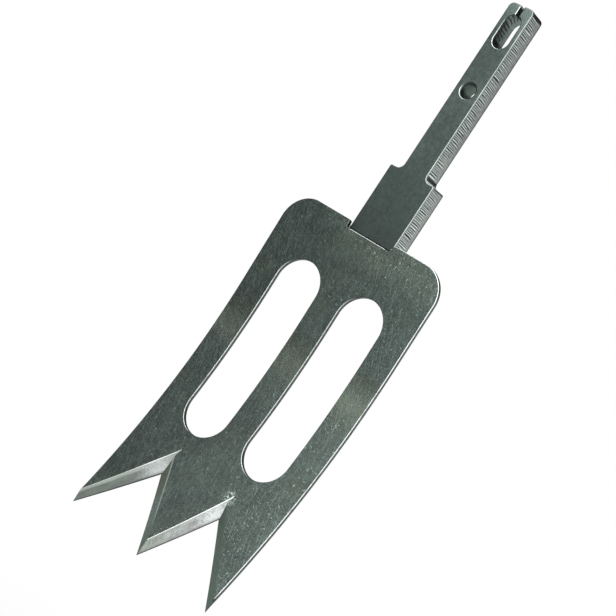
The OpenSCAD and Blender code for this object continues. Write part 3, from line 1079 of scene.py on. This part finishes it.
def bead(length, leg, sink, place):
    """A bead in the corner of two faces. The function place puts a point, given by its distance
    along the bead and away from each face, into the head. The bead's ends are round."""
    shape = bmesh.new()
    along = shape.verts.layers.float.new("along")
    out = shape.verts.layers.float_vector.new("cut_out")
    round_r = math.hypot(leg + sink, sink)
    cap = math.sqrt(round_r ** 2 - 2 * sink ** 2)
    rows, columns, back, least, touching = 110, 20, 0.3, 1.02, 1e-6
    rings = []
    for i in range(rows + 1):
        reach = length * (0.5 - 0.5 * math.cos(math.pi * i / rows))
        past = max(0.0, cap - reach, reach - (length - cap))
        radius = math.sqrt(max(round_r ** 2 - past ** 2, 2 * sink ** 2 * least))
        first = math.asin(sink / radius)
        ring = [shape.verts.new(place(reach, 0.0, 0.0))]
        for k in range(columns + 1):
            turn = first + (math.pi / 2 - 2 * first) * k / columns
            sides = (radius * math.cos(turn) - sink, radius * math.sin(turn) - sink)
            vert = shape.verts.new(place(reach, *sides))
            bow = (2 * k / columns - 1) ** 2
            vert[along] = reach - back * leg * bow
            centre = place(reach, 0.0, 0.0)
            if 0 < k < columns and (vert.co - centre).length > touching:
                vert[out] = (vert.co - centre).normalized() * min(1.0, 2 - 2 * bow)
            ring.append(vert)
        rings.append(ring)
    return closed(shape, rings)


class HOE_OT_welds(bpy.types.Operator):
    """Lays the three beads that hold the bar to the back of the blade"""

    bl_idname = "hoe.welds"
    bl_label = "Welds"

    def execute(self, context):
        sizes = context.scene.hoe_weld
        blade = context.scene.hoe_blade
        sink = sizes.leg / 4
        lap = blade_high.z - bar_low.z

        def on_back(x, z, off):
            return Vector((x, sheet_surfaces(blade, z)[1] + off, z))

        def beside(side):
            return lambda reach, away, off: on_back(side * (bar_high.x + away),
                                                    bar_low.z + sizes.inset + reach, off)

        def below(reach, away, off):
            return on_back(sizes.inset - bar_high.x + reach, bar_low.z - away, off)

        metal = steel("weld_metal", weld_metal, sizes.metal)
        places = (("weld_left", beside(-1), lap), ("weld_right", beside(1), lap),
                  ("weld_end", below, 2 * bar_high.x))
        for seed, (node, place, run) in enumerate(places):
            shape = bead(run - 2 * sizes.inset, sizes.leg, sink, place)
            inputs = {"Gap": sizes.ripple_gap, "Depth": sizes.ripple_d, "Seed": float(seed)}
            piece = finished(shape, node + "_bead", (metal,), (sunk("ripples", inputs, ripples, 0),))
            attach(piece, "root")
            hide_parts(node)
        return {"FINISHED"}


# Stage

# For each soft lamp: its azimuth and elevation in degrees, its distance from the middle of the head,
# its width and height, and its power in watts
LAMPS = {
    "front_softbox": (23, 14, 0.5, 0.55, 0.8, 5.6),
    "overhead_softbox": (-20, 55, 0.7, 0.8, 0.5, 4.4),
    "rear_softbox": (122, 14, 1.3, 0.7, 0.7, 1.0),
    "fill_softbox": (-8, 0, 0.32, 0.2, 0.5, 0.72),
    "edge_strip": (68, 20, 0.6, 0.25, 0.3, 0.8),
}

# The width of the camera's sensor in millimetres
SENSOR_W = 36


def outlook(azimuth, elevation):
    """The direction from the head to a camera or lamp."""
    level = math.cos(elevation)
    return Vector((math.sin(azimuth) * level, -math.cos(azimuth) * level, math.sin(elevation)))


def lamp(name, azimuth, elevation, distance, width, height, power, centre):
    """A soft rectangular lamp that faces the centre."""
    data = bpy.data.lights.new(name, "AREA")
    data.shape = "RECTANGLE"
    data.size = width
    data.size_y = height
    data.energy = power
    made = linked(name, data)
    way = outlook(math.radians(azimuth), math.radians(elevation))
    made.location = centre + way * distance
    made.rotation_euler = way.to_track_quat("Z", "Y").to_euler()


class HOE_OT_stage(bpy.types.Operator):
    """Sets up the camera, the lamps, the white surroundings and the floor"""

    bl_idname = "hoe.stage"
    bl_label = "Stage"

    def execute(self, context):
        sizes = context.scene.hoe_stage
        aim = Vector(sizes.aim)
        data = bpy.data.cameras.new("camera")
        data.lens = sizes.lens
        data.sensor_width = SENSOR_W
        camera = linked("camera", data)
        way = outlook(sizes.azimuth, sizes.elevation)
        turn = way.to_track_quat("Z", "Y").to_matrix() @ Matrix.Rotation(sizes.roll, 3, "Z")
        camera.matrix_world = Matrix.Translation(aim + way * sizes.distance) @ turn.to_4x4()
        context.scene.camera = camera
        context.scene.view_settings.view_transform = "Standard"
        for name, settings in LAMPS.items():
            lamp(name, *settings, (cad_box[0] + cad_box[1]) / 2)
        self.surroundings(context)
        self.floor(context, blade_low.z - sizes.floor_drop)
        return {"FINISHED"}

    def surroundings(self, context):
        """White to the camera and, up to some height, in the metal. Higher up the metal mirrors a
        dimmer ceiling."""
        world = bpy.data.worlds.new("surroundings")
        context.scene.world = world
        bench = emptied(world)
        ray = bench.node("ShaderNodeLightPath").socket.node.outputs
        straight = (Wire(bench, ray["Is Camera Ray"]) + Wire(bench, ray["Is Transmission Ray"])).clamp()
        mirrored_ray = Wire(bench, ray["Is Glossy Ray"])
        _, forth, down = bench.parts(bench.node("ShaderNodeNewGeometry", out="Incoming"))
        ceiling = (down * -1).step(0.08, 0.5) * (forth * -1).step(-0.6, 0.2)
        soft = 0.65 + mirrored_ray * (0.35 - ceiling * 0.85)
        strength = soft + straight * (1 - soft)
        glow = bench.node("ShaderNodeBackground", None, {"Color": (1, 1, 1, 1), "Strength": strength})
        bench.node("ShaderNodeOutputWorld", None, {"Surface": glow})

    def floor(self, context, height):
        """A pale floor that keeps the shadow near the head and fades to white further out."""
        fade_from, fade_to, rim = 0.2, 1.0, 12
        shape = bmesh.new()
        bmesh.ops.create_circle(shape, cap_ends=True, radius=rim, segments=64)
        material = bpy.data.materials.new("pale_floor")
        bench = emptied(material)
        x, y, _ = bench.parts(bench.node("ShaderNodeTexCoord", out="Object"))
        far = (x * x + y * y).maths("SQRT").step(fade_from, fade_to)
        ray = bench.node("ShaderNodeLightPath").socket.node.outputs
        seen = Wire(bench, ray["Is Camera Ray"]) + Wire(bench, ray["Is Glossy Ray"])
        paint = bench.node("ShaderNodeBsdfDiffuse", None, {"Color": (0.86, 0.86, 0.86, 1)})
        glow = bench.node("ShaderNodeEmission", None, {"Color": (1, 1, 1, 1)})
        white = seen.clamp() * (0.6 + far * 0.4)
        mixed = bench.node("ShaderNodeMixShader", None, {0: white, 1: paint, 2: glow})
        clear = bench.node("ShaderNodeBsdfTransparent")
        under = bench.node("ShaderNodeNewGeometry", out="Backfacing")
        bench.node("ShaderNodeOutputMaterial", None, {
            "Surface": bench.node("ShaderNodeMixShader", None, {0: under, 1: mixed, 2: clear})})
        floor = meshed(shape, "floor", (material,))
        floor.location.z = height


class HOE_PT_panel(bpy.types.Panel):
    """Lists the steps that build the fork hoe head"""

    bl_idname = "HOE_PT_panel"
    bl_label = "Fork hoe"
    bl_space_type = "VIEW_3D"
    bl_region_type = "UI"
    bl_category = "Fork hoe"

    def draw(self, context):
        for group, _, step in STEPS:
            box = self.layout.box()
            box.operator(step.bl_idname)
            settings = getattr(context.scene, group)
            for name in settings.bl_rna.properties.keys():
                if name not in ("rna_type", "name"):
                    box.prop(settings, name)


STEPS = (("hoe_shank", ShankSettings, HOE_OT_shank), ("hoe_blade", BladeSettings, HOE_OT_blade),
         ("hoe_weld", WeldSettings, HOE_OT_welds), ("hoe_stage", StageSettings, HOE_OT_stage))


def register():
    for name, group, step in STEPS:
        bpy.utils.register_class(group)
        setattr(bpy.types.Scene, name, PointerProperty(type=group))
        bpy.utils.register_class(step)
    bpy.utils.register_class(HOE_PT_panel)


def unregister():
    bpy.utils.unregister_class(HOE_PT_panel)
    for name, group, step in reversed(STEPS):
        bpy.utils.unregister_class(step)
        delattr(bpy.types.Scene, name)
        bpy.utils.unregister_class(group)


def main():
    register()
    bpy.ops.hoe.shank()
    bpy.ops.hoe.blade()
    bpy.ops.hoe.welds()
    bpy.ops.hoe.stage()


if __name__ == "__main__":
    main()
